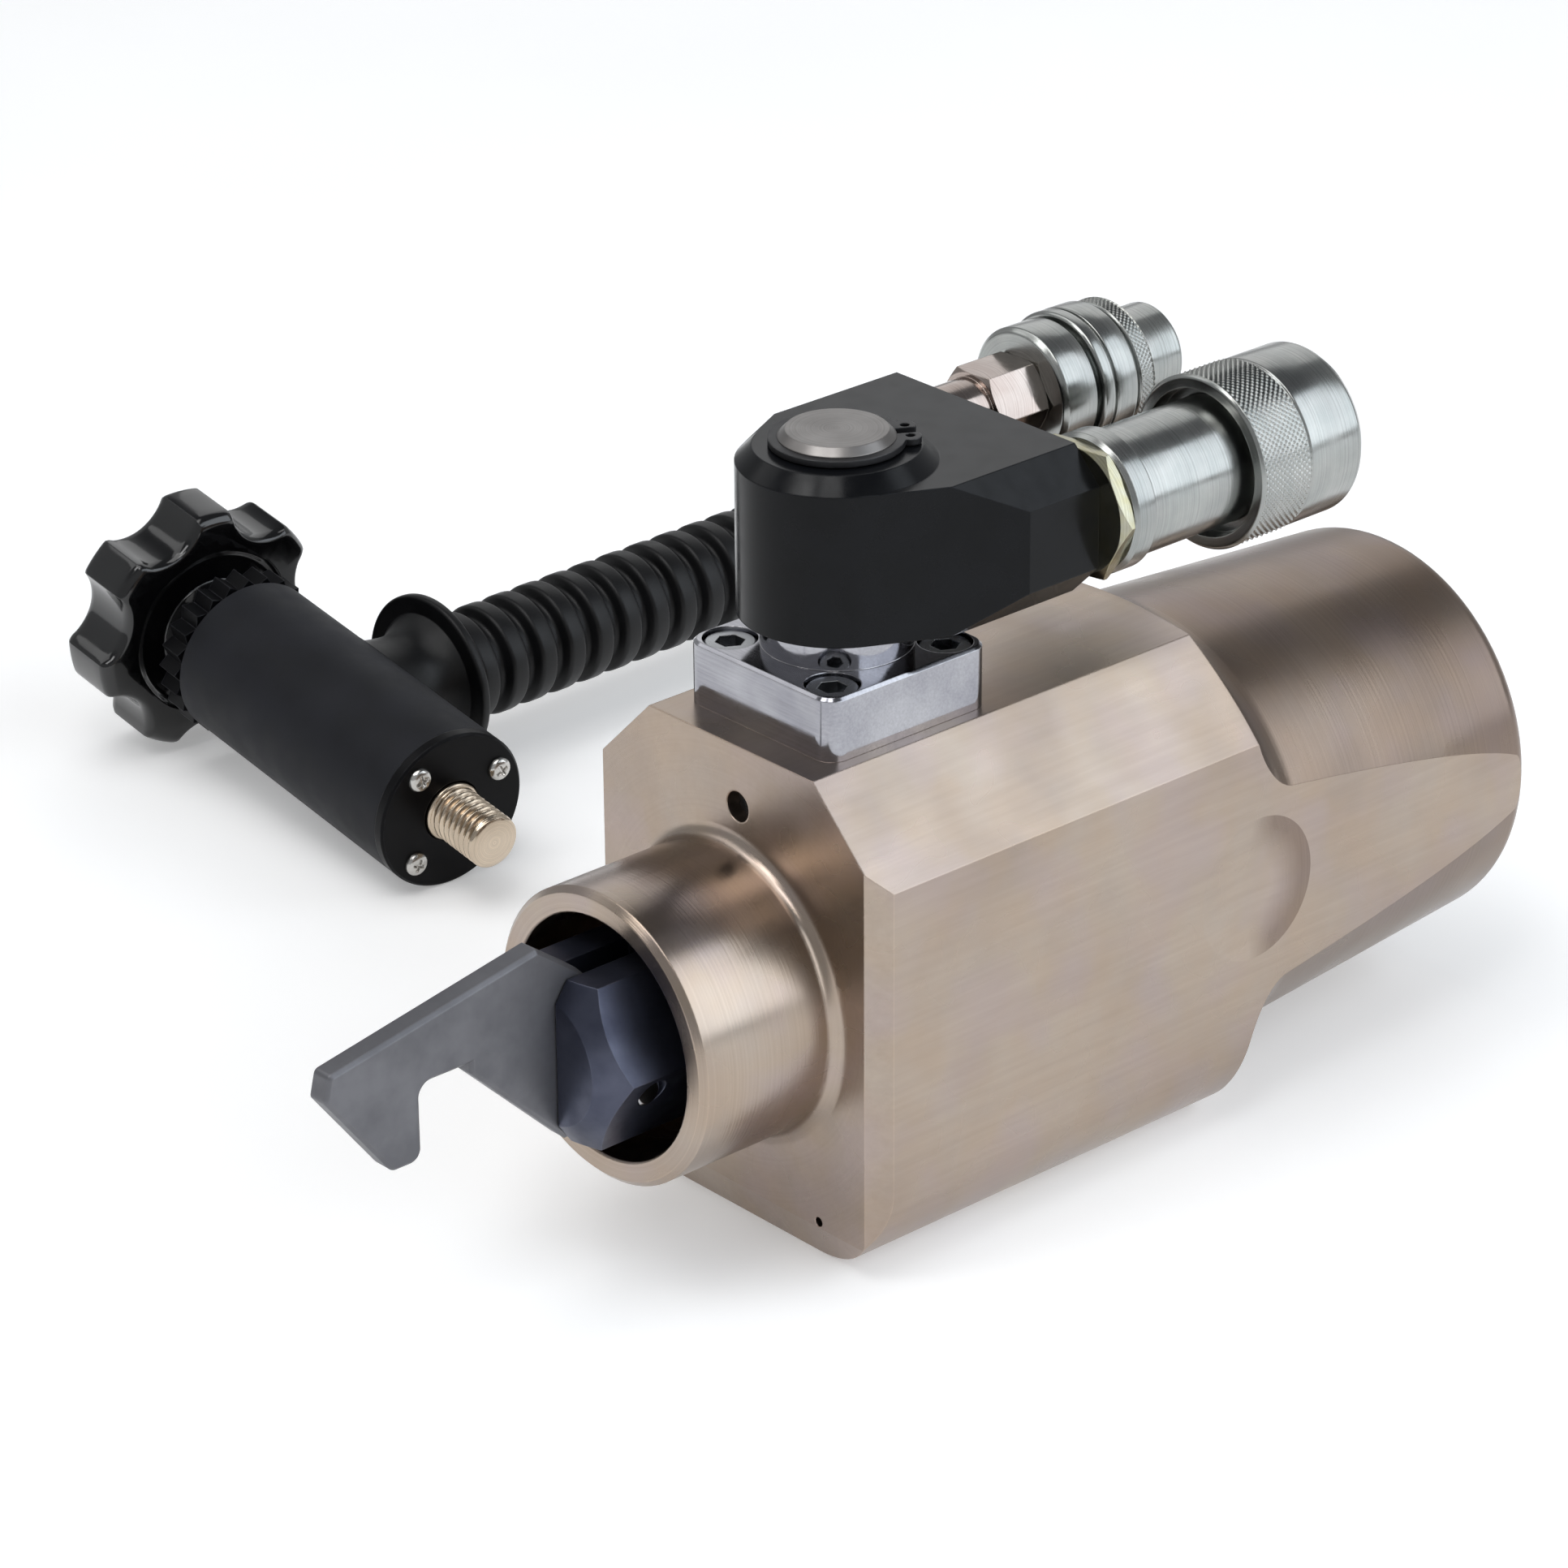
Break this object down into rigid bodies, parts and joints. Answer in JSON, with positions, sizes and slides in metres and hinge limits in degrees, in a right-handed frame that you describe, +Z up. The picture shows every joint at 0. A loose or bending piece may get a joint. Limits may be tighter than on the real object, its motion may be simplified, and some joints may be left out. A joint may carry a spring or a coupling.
{
  "type": "hydraulic torque wrench drive unit",
  "caption": "Low-profile hydraulic torque wrench drive unit with round nose, hook on a hydraulic ram, swivel manifold with hose couplers, and a separate reaction handle.",
  "frame": {"origin": "on the base of the housing, below the axis of the swivel post", "axes": "+Z up along the swivel post, -Y along the bore and the ram towards the hook, +X to the side of the screw-on sleeve"},
  "size_m": [0.2948, 0.2943, 0.1529],
  "materials": {
    "nickel_steel": "satin nickel plate over turned and milled steel",
    "bright_steel": "bright machined steel",
    "ground_steel": "ground steel",
    "hard_chrome": "hard chrome plated and polished",
    "black_steel": "black oxide",
    "blued_steel": "blue-black oxide",
    "phosphated_steel": "grey phosphate",
    "black_anodised": "black anodised, satin",
    "clear_zinc": "clear zinc plate",
    "yellow_zinc": "yellow zinc plate",
    "bronze": "turned bronze",
    "spring_steel": "drawn spring wire",
    "screw_steel": "nickel plated",
    "stud_nickel": "nickel plated, warm tone",
    "seal_rubber": "nitrile rubber",
    "wiper_plastic": "polyurethane",
    "matte_black": "matte moulded, dark grey",
    "black_plate": "black oxide",
    "gloss_black": "glossy moulded plastic",
    "grip_rubber": "moulded rubber"
  },
  "bodies": {
    "housing": {"housing": "nickel_steel", "gallery_plug": "black_steel", "end_cap": "black_steel", "end_cap_seal": "seal_rubber", "rod_gland": "bronze", "gland_seal": "seal_rubber", "rod_wiper": "wiper_plastic", "swivel_flange": "bright_steel", "flange_screws": "black_steel", "swivel_post": "bright_steel", "post_seals": "seal_rubber", "post_ring": "black_steel", "handle_head": "matte_black", "head_plate": "black_plate", "plate_screws": "screw_steel", "crown_ring": "black_plate", "grip_stem": "ground_steel", "grip_sleeve": "grip_rubber", "grip_end": "grip_rubber"},
    "manifold": {"manifold": "black_anodised", "female_adapter": "yellow_zinc", "female_body": "clear_zinc", "female_spring": "spring_steel", "male_adapter": "yellow_zinc", "male_body": "clear_zinc", "male_spring": "spring_steel"},
    "sleeve": {"female_sleeve": "clear_zinc", "sleeve_wire": "bright_steel"},
    "female_valve": {"female_poppet": "bright_steel"},
    "male_valve": {"male_poppet": "bright_steel"},
    "ram": {"piston": "ground_steel", "piston_seal": "wiper_plastic", "piston_nut": "black_steel", "piston_rod": "hard_chrome", "clevis": "blued_steel", "hook_pin": "ground_steel"},
    "hook": {"hook": "phosphated_steel"},
    "knob": {"knob": "gloss_black", "handle_stud": "stud_nickel"}
  },
  "joints": [
    {"name": "manifold_swivel", "type": "hinge", "parent": "housing", "child": "manifold", "pos_m": [0, 0, 0.1175], "axis": [0, 0, 1], "continuous": true},
    {"name": "sleeve_spin", "type": "hinge", "parent": "manifold", "child": "sleeve", "pos_m": [0.0238, 0.0369, 0.1338], "axis": [0, 1, 0], "continuous": true},
    {"name": "female_valve_slide", "type": "slide", "parent": "manifold", "child": "female_valve", "axis": [0, -1, 0], "range_m": [0, 0.003], "stiffness_N_per_m": 250, "springref_m": -0.002, "deforming": ["female_spring"]},
    {"name": "male_valve_slide", "type": "slide", "parent": "manifold", "child": "male_valve", "axis": [0, -1, 0], "range_m": [0, 0.003], "stiffness_N_per_m": 250, "springref_m": -0.002, "deforming": ["male_spring"]},
    {"name": "ram_slide", "type": "slide", "parent": "housing", "child": "ram", "axis": [0, -1, 0], "range_m": [0, 0.028]},
    {"name": "hook_hinge", "type": "hinge", "parent": "ram", "child": "hook", "pos_m": [0, -0.0608, 0.0452], "axis": [-1, 0, 0], "range_deg": [0, 12]},
    {"name": "knob_spin", "type": "hinge", "parent": "housing", "child": "knob", "pos_m": [-0.1447, 0.0223, 0.01769], "axis": [0.9917, -0.0659, -0.1101], "continuous": true}
  ]
}
